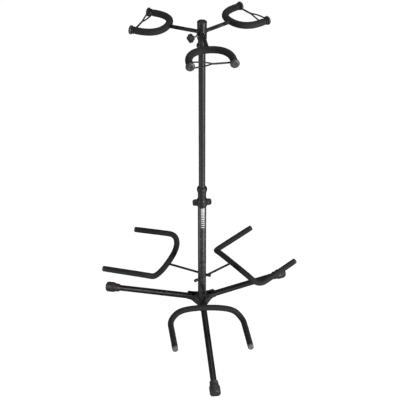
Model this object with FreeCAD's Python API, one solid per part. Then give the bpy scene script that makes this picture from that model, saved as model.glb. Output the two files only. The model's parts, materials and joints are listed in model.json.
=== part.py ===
import FreeCAD, Part
import os
from math import radians, sin, cos, tan, atan2, sqrt, degrees, pi

# Free-standing rack for three guitars.
# Millimetres, +Z up. Everything is drawn about the axis of the centre column, with Z = 0 on the floor;
# the finished pieces are moved so that the origin is the middle of the overall footprint on the floor.
# The front station looks along -Y, the right one along +30 degrees, the left one along +150 degrees.

os.makedirs("parts", exist_ok=True)
V = FreeCAD.Vector
Z = V(0, 0, 1)

# ---------------- driving dimensions ----------------
STATIONS = {"front": -90.0, "right": 30.0, "left": 150.0}   # azimuth of each station, degrees

# centre column
LOWER_OD, LOWER_ID = 25.4, 22.0        # one inch tube
UPPER_OD, UPPER_ID = 19.05, 16.0       # three quarter inch tube
LOWER_BOTTOM, LOWER_TOP = 66.0, 476.0
UPPER_BOTTOM, UPPER_TOP = 398.0, 1018.0
RUN = 0.05                             # radial running clearance

# height clutch
RING_Z0, RING_Z1, RING_OD = 502.0, 518.0, 30.5
NECK_OD = 24.6
WING_Z0, WING_Z1 = 449.5, 475.5
WING_SPAN, WING_THICK, WING_BARREL_OD = 56.0, 9.0, 30.0

# head
HEAD_OD = 25.4
HEAD_Z0, HEAD_Z1 = 994.0, 1039.5
CAP_TOP = 1044.5
HEAD_TURN = 1.8                        # the head swivels: it stands turned by this much over the base, degrees
COLLAR_Z0, COLLAR_OD, FLANGE_OD, FLANGE_H = 971.0, 21.6, 29.0, 9.0
KNOB_Z, KNOB_AZ = 1007.5, 210.0        # thumb screw midway between the left and the front arm
SCREW_D = 5.0
KNOB_R0, KNOB_R1 = 31.5, 43.5

# neck yokes
ARM_Z, ARM_D = 1013.5, 10.2
YOKE_APEX, YOKE_END, YOKE_HALF = 97.0, 176.0, 55.4
YOKE_CORE_D, YOKE_FOAM_D = 10.6, 18.6
YOKE_FOAM_END = 163.0
CAP_NECK_D, CAP_DISC_D = 13.0, 24.0
STRAP_R, STRAP_T = 168.8, 4.0
STRAP_H = 4.6

# base hub and folding legs
LEG_OD, LEG_ID = 19.05, 16.2
LEG_P = (15.0, 83.0)                   # a point of the leg's centre line (radius, height)
FOOT_C = (327.5, 13.5)                 # centre of the foot barrel (radius, height)
PIVOT_R = 38.0
HUB_OD, HUB_Z0, HUB_Z1 = 50.0, 54.0, 95.0
PLATE_T, PLATE_GAP = 2.2, 9.75         # ear plate: thickness, half gap
EAR_END = 51.0
POCKET_R, POCKET_W = 15.9, 14.0        # open slot over each leg: wall round the column, width
BRIDGE_U0, BRIDGE_U1, BRIDGE_T = 6.7, 12.4, 1.9   # bridge over the leg, measured along it from the pivot
PIN_D = 5.0
LEG_IN = 6.5                           # leg tube inboard of its pivot
FOOT_D, FOOT_MOUTH_D = 33.0, 23.5

# cradles: rods through the column at staggered heights
CRADLE_Z = {"front": 151.0, "right": 169.0, "left": 186.0}
CRADLE_ROLL = {"front": 4.5, "right": 1.8, "left": 178.2}   # how each one sits, turned about its rod
CRADLE_BAR_R = 118.0
CRADLE_CORNER = (137.0, 111.5, -30.0)
CRADLE_END = (283.0, 110.5, -6.0)
CRADLE_BEND = 27.0
CRADLE_CORE_D, CRADLE_FOAM_D = 10.0, 18.0
ROD_D, ROD_CLEAR = 7.0, 0.075
STUB_R = 29.5

slope = atan2(LEG_P[1] - FOOT_C[1], FOOT_C[0] - LEG_P[0])   # leg falls outward by this angle
PIVOT_Z = LEG_P[1] - (PIVOT_R - LEG_P[0]) * tan(slope)
nodes = {}
FOOTPRINT_MID = V(0.12, -48.562, 0)    # middle of the overall footprint, seen from the column axis


def export(name, shape):
    placed = shape.copy()
    placed.translate(FOOTPRINT_MID * -1)
    nodes[name] = placed
    placed.exportStep("parts/%s.step" % name)


def check(name, s):
    if not s.isValid():
        s.fix(0.01, 0.01, 0.01)
    return s


def cyl(d, p0, p1):
    a, b = V(*p0), V(*p1)
    return Part.makeCylinder(d / 2.0, (b - a).Length, a, b - a)


def tube(od, idm, z0, z1):
    return cyl(od, (0, 0, z0), (0, 0, z1)).cut(cyl(idm, (0, 0, z0 - 1), (0, 0, z1 + 1)))


def revolve(profile, axis_p=V(0, 0, 0), axis_d=Z):
    # profile: (radius, height) points of a closed outline, turned about the local Z axis
    pts = [V(r, 0, z) for r, z in profile]
    pts.append(pts[0])
    face = Part.Face(Part.makePolygon(pts))
    s = face.revolve(V(0, 0, 0), Z, 360)
    s = Part.Solid(s) if s.ShapeType != "Solid" else s
    return orient(s, axis_p, axis_d)


def orient(s, p, d):
    # moves a shape built along +Z so that +Z lies along d and its origin at p
    s = s.copy()
    s.Placement = FreeCAD.Placement(V(*p) if not isinstance(p, V) else p, FreeCAD.Rotation(Z, V(d)))
    return s


def station(s, az):
    # shapes are built for azimuth 0 (outward = +X, right hand = -Y) and turned about the column
    s = s.copy()
    s.rotate(V(0, 0, 0), Z, az)
    return s


def local(r, t, z):
    # radius, right-hand offset looking outward, height -> azimuth 0 coordinates
    return V(r, -t, z)


def spline(points):
    c = Part.BSplineCurve()
    c.interpolate(points)
    return Part.Wire(c.toShape())


def sweep(wire, points, d):
    tangent = points[1] - points[0]
    circ = Part.Wire(Part.makeCircle(d / 2.0, points[0], tangent))
    s = wire.makePipeShell([circ], True, False)
    return s if s.ShapeType == "Solid" else Part.Solid(s)


def bez(P, n, skip=False):
    out = []
    m = len(P) - 1
    for i in range(1 if skip else 0, n + 1):
        u = i / float(n)
        if m == 1:
            w = [1 - u, u]
        elif m == 2:
            w = [(1 - u) ** 2, 2 * u * (1 - u), u * u]
        else:
            w = [(1 - u) ** 3, 3 * (1 - u) ** 2 * u, 3 * (1 - u) * u * u, u ** 3]
        p = V(0, 0, 0)
        for wi, pi_ in zip(w, P):
            p = p + pi_ * wi
        out.append(p)
    return out


# ---------------- cradle and yoke centre lines (azimuth 0, relative to their own height) ----------------
def cradle_half():
    M = V(CRADLE_BAR_R, 0, 0)
    C = V(CRADLE_CORNER[0], CRADLE_CORNER[1], CRADLE_CORNER[2])
    E = V(CRADLE_END[0], CRADLE_END[1], CRADLE_END[2])
    K = V(CRADLE_BAR_R, CRADLE_CORNER[1] * 0.66, 0)
    out_dir = (E - C).normalize()
    in_dir = (K - C).normalize()
    A = C + in_dir * CRADLE_BEND
    B = C + out_dir * CRADLE_BEND
    pts = bez([M, K, A], 6) + bez([A, C, B], 5, True) + bez([B, E], 3, True)
    return pts


def mirror_t(pts):
    return [V(p.x, -p.y, p.z) for p in pts]


def full(half):
    return list(reversed(mirror_t(half)))[:-1] + half


def yoke_half(r_end):
    P = [V(YOKE_APEX, 0, 0), V(YOKE_APEX, 45.0, 0), V(129.0, YOKE_HALF + 1.0, 0), V(158.0, YOKE_HALF, 0)]
    pts = bez(P, 9)
    return pts + [V(158.0 + (r_end - 158.0) * k / 2.0, YOKE_HALF, 0) for k in (1, 2)]


def trim_to_r(pts, r_end):
    # the same line cut square at radius r_end on its straight ends
    return [p for p in pts if p.x < r_end - 0.5] + [V(r_end, pts[-1].y + (pts[-1].y - pts[-2].y) / (pts[-1].x - pts[-2].x) * (r_end - pts[-1].x), pts[-1].z + (pts[-1].z - pts[-2].z) / (pts[-1].x - pts[-2].x) * (r_end - pts[-1].x))]


def lift(s, z):
    s = s.copy()
    s.translate(V(0, 0, z))
    return s


# ---------------- centre column ----------------
lower = tube(LOWER_OD, LOWER_ID, LOWER_BOTTOM, LOWER_TOP)
for st, az in STATIONS.items():
    a = radians(az)
    z = CRADLE_Z[st]
    lower = lower.cut(cyl(ROD_D + 2 * ROD_CLEAR, (30 * cos(a), 30 * sin(a), z), (-30 * cos(a), -30 * sin(a), z)))
export("lower_tube", lower)

export("tube_insert", tube(LOWER_ID, 6.0, LOWER_BOTTOM, LOWER_BOTTOM + 18))

upper = tube(UPPER_OD, UPPER_ID, UPPER_BOTTOM, UPPER_TOP)
export("upper_tube", upper)

# nylon guide at the foot of the upper tube: plug in its bore, collar running in the lower tube
guide = revolve([(0, UPPER_BOTTOM - 12), (9.0, UPPER_BOTTOM - 12), (LOWER_ID / 2 - RUN, UPPER_BOTTOM - 10.5),
                 (LOWER_ID / 2 - RUN, UPPER_BOTTOM), (UPPER_ID / 2, UPPER_BOTTOM), (UPPER_ID / 2, UPPER_BOTTOM + 16),
                 (6.6, UPPER_BOTTOM + 17.5), (0, UPPER_BOTTOM + 17.5)])
export("upper_tube_guide", guide)

# clutch bushing: spigot inside the lower tube, neck above it
bush = revolve([(UPPER_OD / 2 + RUN, LOWER_TOP - 36), (LOWER_ID / 2, LOWER_TOP - 36), (LOWER_ID / 2, LOWER_TOP),
                (NECK_OD / 2, LOWER_TOP), (NECK_OD / 2, RING_Z0 - 3), (NECK_OD / 2 - 0.8, RING_Z0 - 2),
                (NECK_OD / 2 - 0.8, RING_Z0 + 14.0), (UPPER_OD / 2 + RUN, RING_Z0 + 14.0)])
export("clutch_bushing", bush)

# clutch ring: soft collar pushed over the top of the bushing
ro = RING_OD / 2
ring = revolve([(NECK_OD / 2 - 0.8, RING_Z0), (ro - 2.2, RING_Z0), (ro - 0.6, RING_Z0 + 2.0), (ro, RING_Z0 + 5.0), (ro, RING_Z0 + 9.0),
                (ro - 1.0, RING_Z0 + 12.0), (ro - 3.0, RING_Z1 - 1.6), (ro - 4.4, RING_Z1), (UPPER_OD / 2 + 0.6, RING_Z1),
                (UPPER_OD / 2 + 0.6, RING_Z0 + 14.0), (NECK_OD / 2 - 0.8, RING_Z0 + 14.0)])
export("clutch_ring", ring)

# clutch wing nut: turning barrel around the lower tube with two flat wings along X
wz = WING_Z1 - WING_Z0
barrel = revolve([(LOWER_OD / 2 + RUN, WING_Z0), (WING_BARREL_OD / 2 - 1.2, WING_Z0), (WING_BARREL_OD / 2, WING_Z0 + 1.5),
                  (WING_BARREL_OD / 2, WING_Z1 - 3.0), (WING_BARREL_OD / 2 - 1.6, WING_Z1 - 1.0),
                  (WING_BARREL_OD / 2 - 1.6, WING_Z1), (LOWER_OD / 2 + RUN, WING_Z1)])
wing = Part.makeBox(WING_SPAN, WING_THICK, wz - 5.5, V(-WING_SPAN / 2, -WING_THICK / 2, WING_Z0 + 2.0))
vert = [e for e in wing.Edges if abs(abs(e.tangentAt(e.FirstParameter).y) - 1) < 1e-6]
wing = wing.makeFillet(6.5, vert)
soft = [e for e in wing.Edges if e.Length > 5.0 and abs(e.tangentAt(e.FirstParameter).y) < 0.9]
try:
    wing = wing.makeFillet(1.8, soft)
except Exception:
    pass
wing = wing.cut(cyl(LOWER_OD + 2 * RUN, (0, 0, WING_Z0 - 5), (0, 0, WING_Z1 + 5)))
nut = barrel.fuse(wing).removeSplitter()
export("clutch_wing_nut", nut)

# printed label on the front of the lower tube
lab = tube(LOWER_OD + 0.5, LOWER_OD, 371.0, 447.0)
wedge = Part.makeBox(15.0, 20.0, 100.0, V(-7.5, -20.0, 350.0))
wedge.rotate(V(0, 0, 0), Z, 4.0)
export("tube_label", lab.common(wedge))

# ---------------- base hub ----------------
# bowl-shaped casting round the foot of the column
hub = revolve([(0, HUB_Z0), (9.5, HUB_Z0), (13.0, HUB_Z0 + 2.0), (17.6, HUB_Z0 + 7.5), (21.2, HUB_Z0 + 13.0), (23.6, HUB_Z0 + 19.5), (HUB_OD / 2, HUB_Z0 + 27.0),
               (HUB_OD / 2, HUB_Z1 - 1.6), (HUB_OD / 2 - 1.6, HUB_Z1), (0, HUB_Z1)])


def leg_z(r):
    return LEG_P[1] - (r - LEG_P[0]) * tan(slope)


half = LEG_OD / 2
for az in STATIONS.values():
    # open slot above the inboard end of each leg
    pocket = Part.makeBox(60, POCKET_W, 60, V(POCKET_R, -POCKET_W / 2, LOWER_BOTTOM))
    hub = hub.cut(station(pocket, az))
plates = []
top_z = leg_z(BRIDGE_U1 * cos(slope) + PIVOT_R) + (half + 0.06 + BRIDGE_T) / cos(slope)
for side in (1, -1):
    # ear plate: a rounded lug beside the leg, running back into the bowl
    P = [V(15.0, 0, HUB_Z1 - 1.0), V(24.5, 0, HUB_Z1 - 1.6), V(33.5, 0, 90.4), V(EAR_END - 3.0, 0, top_z + 0.6), V(EAR_END, 0, top_z - 2.6),
         V(EAR_END, 0, leg_z(EAR_END) - 0.5), V(EAR_END - 4.5, 0, leg_z(EAR_END) - 3.2), V(38.0, 0, PIVOT_Z - 4.9), V(31.0, 0, PIVOT_Z - 5.6), V(24.0, 0, 67.5), V(18.0, 0, 62.5), V(15.0, 0, 62.5)]
    face = Part.Face(Part.makePolygon(P + [P[0]]))
    pl = face.extrude(V(0, PLATE_T, 0))
    pl.translate(V(0, PLATE_GAP if side > 0 else -PLATE_GAP - PLATE_T, 0))
    plates.append(pl)
# bridge over the leg, just outboard of the pivot: the stop that carries the load of the leg
bridge = Part.makeBox(BRIDGE_U1 - BRIDGE_U0, 2 * (PLATE_GAP + PLATE_T), BRIDGE_T, V(BRIDGE_U0, -(PLATE_GAP + PLATE_T), half + 0.06))
bridge.rotate(V(0, 0, 0), V(0, 1, 0), degrees(slope))
bridge.translate(V(PIVOT_R, 0, PIVOT_Z))
bracket = plates[0].fuse(plates[1]).fuse(bridge)
# pin hole through both plates
bracket = bracket.cut(cyl(PIN_D, (PIVOT_R, -20, PIVOT_Z), (PIVOT_R, 20, PIVOT_Z)))
for az in STATIONS.values():
    hub = hub.fuse(station(bracket, az))
# socket for the column, bolt hole
hub = hub.cut(cyl(LOWER_OD, (0, 0, LOWER_BOTTOM), (0, 0, 200)))
hub = hub.cut(cyl(6.6, (0, 0, 0), (0, 0, 100)))
hub = hub.removeSplitter()
export("base_hub", hub)

# centre bolt: head and washer under the hub, thread in the tube insert
bolt = cyl(6.0, (0, 0, HUB_Z0 - 2), (0, 0, LOWER_BOTTOM + 15))
hexa = Part.Face(Part.makePolygon([V(5.77 * cos(radians(60 * i)), 5.77 * sin(radians(60 * i)), HUB_Z0 - 6.0) for i in range(7)])).extrude(V(0, 0, 4.4))
export("hub_bolt", bolt.fuse(hexa).fuse(tube(16.0, 5.9, HUB_Z0 - 1.6, HUB_Z0)).removeSplitter())

# rivets: one per leg, through both plates
riv = []
for az in STATIONS.values():
    w = PLATE_GAP + PLATE_T
    r = cyl(PIN_D, (PIVOT_R, -w, PIVOT_Z), (PIVOT_R, w, PIVOT_Z))
    for s in (1, -1):
        head = revolve([(0, 0), (4.1, 0), (3.9, 0.7), (3.0, 1.5), (1.6, 1.9), (0, 2.0)], V(PIVOT_R, s * w, PIVOT_Z), V(0, s, 0))
        r = r.fuse(head)
    riv.append(station(r.removeSplitter(), az))
export("leg_pivot_rivets", Part.makeCompound(riv))

# ---------------- legs and feet ----------------
# built along +X from the pivot, then tilted down and moved to the pivot
foot_u = (FOOT_C[0] - PIVOT_R) / cos(slope)
leg_end = foot_u + 10.0


def tilt(s):
    s = s.copy()
    s.rotate(V(0, 0, 0), V(0, 1, 0), degrees(slope))
    s.translate(V(PIVOT_R, 0, PIVOT_Z))
    return s


leg = cyl(LEG_OD, (-LEG_IN, 0, 0), (leg_end, 0, 0)).cut(cyl(LEG_ID, (-LEG_IN - 1, 0, 0), (leg_end + 1, 0, 0)))
leg = leg.cut(cyl(PIN_D + 0.12, (0, -20, 0), (0, 20, 0)))
lh = LEG_OD / 2
fr, fm = FOOT_D / 2, FOOT_MOUTH_D / 2
prof = [(lh, foot_u - 31.0), (fm - 0.8, foot_u - 31.0), (fm, foot_u - 30.0), (fm, foot_u - 27.5), (fm - 0.7, foot_u - 26.6), (fm + 0.2, foot_u - 25.0),
        (fm + 1.2, foot_u - 20.0), (fm + 3.0, foot_u - 15.0), (fr - 0.9, foot_u - 12.0), (fr, foot_u - 10.0), (fr, foot_u + 9.0),
        (fr - 1.0, foot_u + 11.0), (fr - 3.5, foot_u + 12.4), (fr - 7.0, foot_u + 13.0), (0, foot_u + 13.0), (0, leg_end), (lh, leg_end)]
foot = revolve(prof, V(0, 0, 0), V(1, 0, 0))
foot = tilt(foot)
floor_cut = Part.makeBox(2000, 2000, 100, V(-1000, -1000, -100))
foot = foot.cut(floor_cut)
leg = tilt(leg)
band = tilt(cyl(LEG_OD + 1.2, (foot_u - 35.5, 0, 0), (foot_u - 31.6, 0, 0)).cut(cyl(LEG_OD, (foot_u - 60, 0, 0), (foot_u, 0, 0))))
for st, az in STATIONS.items():
    export("%s_leg" % st, station(leg, az))
    export("%s_foot" % st, station(foot, az))
export("left_leg_band", station(band, STATIONS["left"]))

# ---------------- cradles ----------------
chalf = cradle_half()
cpts = full(chalf)
core_wire = spline(cpts)
core = sweep(core_wire, cpts, CRADLE_CORE_D)
FE = CRADLE_END[0] - 6.0
fpts = full(trim_to_r(chalf, FE))
foam_wire = spline(fpts)
foam = sweep(foam_wire, fpts, CRADLE_FOAM_D)
ipts = full(trim_to_r(chalf, CRADLE_END[0] + 4.0))
foam = foam.cut(sweep(spline(ipts), ipts, CRADLE_CORE_D + 0.2))
rod = cyl(ROD_D, (-STUB_R + 2.5, 0, 0), (CRADLE_BAR_R, 0, 0)).cut(sweep(core_wire, cpts, CRADLE_CORE_D))
rod = max(rod.Solids, key=lambda s: s.Volume)
foam = foam.cut(cyl(ROD_D + 0.6, (60, 0, 0), (CRADLE_BAR_R, 0, 0)))
foam = max(foam.Solids, key=lambda s: s.Volume)
rod_cap = revolve([(ROD_D / 2, -11.0), (4.5, -11.0), (4.8, -10.2), (4.8, -2.2), (3.9, -0.6), (2.0, 0), (0, 0), (0, -2.5), (ROD_D / 2, -2.5)],
                  V(-STUB_R, 0, 0), V(-1, 0, 0))
# end caps over the tips of the core
E = chalf[-1]
D = (chalf[-1] - chalf[-2]).normalize()
tipc = []
for s in (1, -1):
    d = V(D.x, s * D.y, D.z)
    e = V(E.x, s * E.y, E.z)
    # local z = 0 at the end of the core
    fd = CRADLE_FOAM_D / 2
    tcap = revolve([(CRADLE_CORE_D / 2 + 0.06, -5.6), (fd - 0.6, -5.6), (fd - 0.2, -5.0), (fd - 0.2, 0.4), (fd - 0.8, 1.7), (fd - 2.4, 2.6), (4.0, 2.9), (3.4, 2.2), (0, 2.2),
                    (0, 0.02), (CRADLE_CORE_D / 2 + 0.06, 0.02)], e, d)
    tipc.append(tcap)
for st, az in STATIONS.items():
    for name, shape in (("core", core), ("foam", foam), ("rod", rod), ("rod_cap", rod_cap), ("end_caps", Part.makeCompound(tipc))):
        s = shape.copy()
        # turned about the rod: right-hand side looking outward goes up for a positive angle
        s.rotate(V(0, 0, 0), V(1, 0, 0), -CRADLE_ROLL[st])
        s = station(lift(s, CRADLE_Z[st]), az)
        export("%s_cradle_%s" % (st, name), s)

# ---------------- head ----------------
hid = UPPER_OD / 2 + RUN
head = tube(HEAD_OD, 2 * hid, HEAD_Z0, HEAD_Z1)
for az in STATIONS.values():
    a = radians(az + HEAD_TURN)
    head = head.cut(cyl(ARM_D, (11.0 * cos(a), 11.0 * sin(a), ARM_Z), (40 * cos(a), 40 * sin(a), ARM_Z)))
ka = radians(KNOB_AZ + HEAD_TURN)
kd = V(cos(ka), sin(ka), 0)


def on_screw(r):
    return (r * kd.x, r * kd.y, KNOB_Z)


# threaded boss for the thumb screw
head = head.fuse(cyl(10.5, on_screw(10.5), on_screw(15.6)))
head = head.cut(cyl(2 * hid, (0, 0, 900), (0, 0, 1100)))
head = head.cut(cyl(SCREW_D + 0.12, on_screw(5.0), on_screw(30.0)))
export("head_sleeve", head.removeSplitter())
export("head_cap", revolve([(0, HEAD_Z1 - 14), (hid - 0.6, HEAD_Z1 - 14), (hid, HEAD_Z1 - 13), (hid, HEAD_Z1), (HEAD_OD / 2, HEAD_Z1), (HEAD_OD / 2, CAP_TOP - 2.2),
                            (HEAD_OD / 2 - 0.9, CAP_TOP - 0.8), (HEAD_OD / 2 - 2.6, CAP_TOP), (0, CAP_TOP)]))

collar = revolve([(hid, COLLAR_Z0), (FLANGE_OD / 2 - 1.0, COLLAR_Z0), (FLANGE_OD / 2, COLLAR_Z0 + 1.2), (FLANGE_OD / 2, COLLAR_Z0 + FLANGE_H - 2.5),
                  (FLANGE_OD / 2 - 1.5, COLLAR_Z0 + FLANGE_H - 0.8), (COLLAR_OD / 2, COLLAR_Z0 + FLANGE_H + 0.8), (COLLAR_OD / 2, HEAD_Z0), (hid, HEAD_Z0)])
export("head_collar", collar)

screw = cyl(SCREW_D, on_screw(UPPER_OD / 2 + 0.06), on_screw(KNOB_R0 + 9.0))
export("knob_screw", screw)
# four-lobed thumb knob on the screw
kh = KNOB_R1 - KNOB_R0
kn = cyl(16.0, (0, 0, 0), (0, 0, kh))
for i in range(4):
    a = radians(45 + 90 * i)
    kn = kn.fuse(cyl(9.0, (7.6 * cos(a), 7.6 * sin(a), 0), (7.6 * cos(a), 7.6 * sin(a), kh)))
kn = kn.removeSplitter()
try:
    rim = [e for e in kn.Edges if abs(e.BoundBox.ZMin - e.BoundBox.ZMax) < 1e-6]
    kn = kn.makeFillet(1.6, rim)
except Exception:
    pass
kn = kn.fuse(cyl(9.6, (0, 0, -4.0), (0, 0, 3.0))).removeSplitter()
kn = kn.cut(cyl(SCREW_D, (0, 0, -10.0), (0, 0, 9.0)))
export("knob", orient(kn, V(*on_screw(KNOB_R0)), kd))

# ---------------- neck yokes ----------------
yh = yoke_half(YOKE_END)
ypts = full(yh)
ywire = spline(ypts)
ycore = sweep(ywire, ypts, YOKE_CORE_D)
yip = full([p for p in yh if p.x < YOKE_END - 1] + [V(YOKE_END + 4, YOKE_HALF, 0)])
ylong = spline(yip)
yfoam = sweep(ylong, yip, YOKE_FOAM_D).cut(Part.makeBox(60, 300, 60, V(YOKE_FOAM_END, -150, -30)))
yfoam = yfoam.cut(sweep(ylong, yip, YOKE_CORE_D + 0.3))
arm = cyl(ARM_D, (11.0, 0, 0), (YOKE_APEX, 0, 0)).cut(ycore)
arm = max(arm.Solids, key=lambda s: s.Volume)
yfoam = yfoam.cut(cyl(ARM_D + 0.2, (40, 0, 0), (YOKE_APEX, 0, 0)))
yfoam = max(yfoam.Solids, key=lambda s: s.Volume)
ycaps = []
for s in (1, -1):
    dr = CAP_DISC_D / 2
    ycaps.append(revolve([(YOKE_CORE_D / 2 + 0.08, -12.6), (CAP_NECK_D / 2 + 1.6, -12.6), (CAP_NECK_D / 2 + 1.6, -10.4), (CAP_NECK_D / 2, -9.6), (CAP_NECK_D / 2, -3.4), (dr - 1.4, -2.6), (dr, -1.0),
                          (dr, 1.6), (dr - 1.0, 3.2), (dr - 3.4, 4.2), (5.0, 4.6), (4.0, 3.8), (0, 3.8), (0, 0.06), (YOKE_CORE_D / 2 + 0.08, 0.06)],
                         V(YOKE_END, s * YOKE_HALF, 0), V(1, 0, 0)))

# rubber strap across the mouth: a small eye round one cap neck, a strand, and a long loop round the other
def loop_face(cy, r, apex):
    # closed outline: circle of radius r at (cy, 0) drawn out to a point at y = apex
    d = abs(cy - apex)
    ang = sin(0)
    sgn = 1 if apex < cy else -1
    th = pi - __import__("math").acos(r / d) if False else None
    import math
    b = math.acos(r / d)
    t1 = V(0, cy - sgn * r * math.cos(b), r * math.sin(b))
    t2 = V(0, t1.y, -t1.z)
    far = V(0, cy + sgn * r, 0)
    a = V(0, apex, 0)
    w = Part.Wire([Part.makeLine(a, t1), Part.Arc(t1, far, t2).toShape(), Part.makeLine(t2, a)])
    return Part.Face(w)


def strap_solid():
    ri = CAP_NECK_D / 2 + 0.25
    w = 3.4
    # the long loop goes round the right-hand cap (right hand = -Y at azimuth 0)
    outer = loop_face(-YOKE_HALF, ri + w, 0.0).extrude(V(STRAP_T, 0, 0))
    inner = loop_face(-YOKE_HALF, ri, -8.0).extrude(V(STRAP_T + 2, 0, 0))
    inner.translate(V(-1, 0, 0))
    eye = Part.makeCylinder(ri + w, STRAP_T, V(0, YOKE_HALF, 0), V(1, 0, 0))
    eye_in = Part.makeCylinder(ri, STRAP_T + 2, V(-1, YOKE_HALF, 0), V(1, 0, 0))
    strand = Part.makeBox(STRAP_T, YOKE_HALF + 3.0, STRAP_H, V(0, -3.0, -STRAP_H / 2))
    s = outer.fuse(strand).fuse(eye).cut(inner).cut(eye_in).removeSplitter()
    s.translate(V(STRAP_R - STRAP_T / 2, 0, 0))
    return s


strap = strap_solid()
for st, az in STATIONS.items():
    for name, shape in (("arm", arm), ("yoke_core", ycore), ("yoke_foam", yfoam), ("yoke_caps", Part.makeCompound(ycaps)), ("strap", strap)):
        export("%s_%s" % (st, name), station(lift(shape, ARM_Z), az + HEAD_TURN))

bb = None
for n in sorted(nodes):
    s = nodes[n]
    b = s.optimalBoundingBox(True, False)
    print("%-24s solids %d valid %s vol %.1f cm3  z %.1f..%.1f" % (n, len(s.Solids), s.isValid(), s.Volume / 1000.0, b.ZMin, b.ZMax))
    bb = b if bb is None else bb.united(b)
print(len(nodes), "nodes; box", [round(v, 1) for v in (bb.XMin, bb.YMin, bb.ZMin, bb.XMax, bb.YMax, bb.ZMax)])
print("leg slope", round(degrees(slope), 3), "pivot z", round(PIVOT_Z, 3))
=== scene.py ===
import json
from math import acos, atan, atan2, cos, exp, pi, radians, sin, sqrt, tan

import bmesh
import bpy
from mathutils import Matrix, Vector, noise


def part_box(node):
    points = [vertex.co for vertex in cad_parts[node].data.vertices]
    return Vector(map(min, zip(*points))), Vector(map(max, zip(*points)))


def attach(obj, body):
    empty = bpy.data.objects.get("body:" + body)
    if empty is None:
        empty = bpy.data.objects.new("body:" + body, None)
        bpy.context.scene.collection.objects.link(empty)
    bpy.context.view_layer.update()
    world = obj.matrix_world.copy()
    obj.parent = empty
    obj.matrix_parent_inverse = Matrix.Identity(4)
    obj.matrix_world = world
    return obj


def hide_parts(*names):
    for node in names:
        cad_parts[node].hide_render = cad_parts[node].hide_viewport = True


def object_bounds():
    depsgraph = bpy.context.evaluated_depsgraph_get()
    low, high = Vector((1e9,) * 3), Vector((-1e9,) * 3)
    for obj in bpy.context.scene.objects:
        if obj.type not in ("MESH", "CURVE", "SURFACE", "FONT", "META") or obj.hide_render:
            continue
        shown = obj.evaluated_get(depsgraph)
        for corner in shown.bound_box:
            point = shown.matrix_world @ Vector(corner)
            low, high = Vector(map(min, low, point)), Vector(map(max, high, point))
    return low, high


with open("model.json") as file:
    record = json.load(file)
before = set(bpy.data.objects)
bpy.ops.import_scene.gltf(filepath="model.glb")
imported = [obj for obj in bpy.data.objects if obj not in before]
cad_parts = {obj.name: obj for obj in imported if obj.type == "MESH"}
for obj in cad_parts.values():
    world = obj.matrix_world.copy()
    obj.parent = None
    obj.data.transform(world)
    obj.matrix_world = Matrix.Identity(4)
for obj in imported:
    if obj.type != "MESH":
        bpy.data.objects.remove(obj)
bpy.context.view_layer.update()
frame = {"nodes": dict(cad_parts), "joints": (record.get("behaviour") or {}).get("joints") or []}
NODES = frame["nodes"]
JOINTS = {joint["name"]: joint for joint in frame["joints"]}
MM = 0.001
STATIONS = {"front": radians(-90), "right": radians(30), "left": radians(150)}   # azimuths

column_low, column_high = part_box("lower_tube")
AXIS = Vector(((column_low.x + column_high.x) / 2, (column_low.y + column_high.y) / 2, 0))

TUBE_R = 9.525          # mm, outer radius of the legs and the upper tube
TUBE_MOUTH_R = 9.2      # mm, the same at the rounded ends
BORE = 9.575            # mm, bore of the mouldings round the upper tube
SOCKET_R = 12.75        # mm, bore of the hub's rim

# Cradle path, in its own frame: x outwards, y across, z up
CRADLE_BAR_X = 0.118                         # middle of the cross bar
CRADLE_CORNER = Vector((0.137, 0.1115, -0.030))
CRADLE_END = Vector((0.283, 0.1105, -0.006))
CRADLE_BEND = 0.027                          # length of each side of the corner's bend
CRADLE_FOAM_SHORT = 0.0018                   # the sleeve's path stops this short of the CAD foam
ROD_CAP_INSET = 0.0185                       # from the column's axis to the rod cap's mouth

# Yoke path, flat in x and y
YOKE_APEX_X = 0.097
YOKE_HALF = 0.0554                           # half the distance between the prongs
YOKE_STRAIGHT_X = 0.158                      # where the prongs run straight
YOKE_STRAIGHT_LENGTH = 0.018
YOKE_TIP_X = YOKE_STRAIGHT_X + YOKE_STRAIGHT_LENGTH


# ------------------------------------------------------------------ reading the CAD frame
def box(node):
    low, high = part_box(node)
    return Vector(low) - AXIS, Vector(high) - AXIS


def heights(node):
    """Bottom and top of a node, in mm."""
    low, high = box(node)
    return low.z * 1000, high.z * 1000


def turn(azimuth):
    return Matrix.Rotation(azimuth, 4, "Z")


def node_points(node):
    return [vertex.co - AXIS for vertex in NODES[node].data.vertices]


def unturned_points(node, azimuth):
    """A node's points with its station turned back onto +X."""
    back = turn(-azimuth)
    return [back @ point for point in node_points(node)]


def mean(points):
    count = len(points)
    return Vector([sum(point[axis] for point in points) / count for axis in range(3)])


def joint_position(name):
    return Vector(JOINTS[name]["pos_m"]) - AXIS


def joint_axis(name):
    return Vector(JOINTS[name]["axis"]).normalized()


def cradle_matrix(station):
    """How the cradle sits, read from its two end caps."""
    height = joint_position(station + "_cradle_turn").z
    caps = unturned_points(station + "_cradle_end_caps", STATIONS[station])
    near = mean([point for point in caps if point.y <= 0])
    far = mean([point for point in caps if point.y > 0])
    angle = atan2(far.z - near.z, far.y - near.y)
    if (near.z + far.z) / 2 > height:
        angle += pi
    return (turn(STATIONS[station]) @ Matrix.Translation((0, 0, height))
            @ Matrix.Rotation(angle, 4, "X"))


def head_azimuth(station):
    """Azimuth of a yoke: the head can stand turned over the base."""
    caps = node_points(station + "_yoke_caps")
    return atan2(sum(point.y for point in caps), sum(point.x for point in caps))


HEAD_AZIMUTHS = {station: head_azimuth(station) for station in STATIONS}


def yoke_matrix(station):
    low, high = box(station + "_yoke_caps")
    return turn(HEAD_AZIMUTHS[station]) @ Matrix.Translation((0, 0, (low.z + high.z) / 2))


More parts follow.
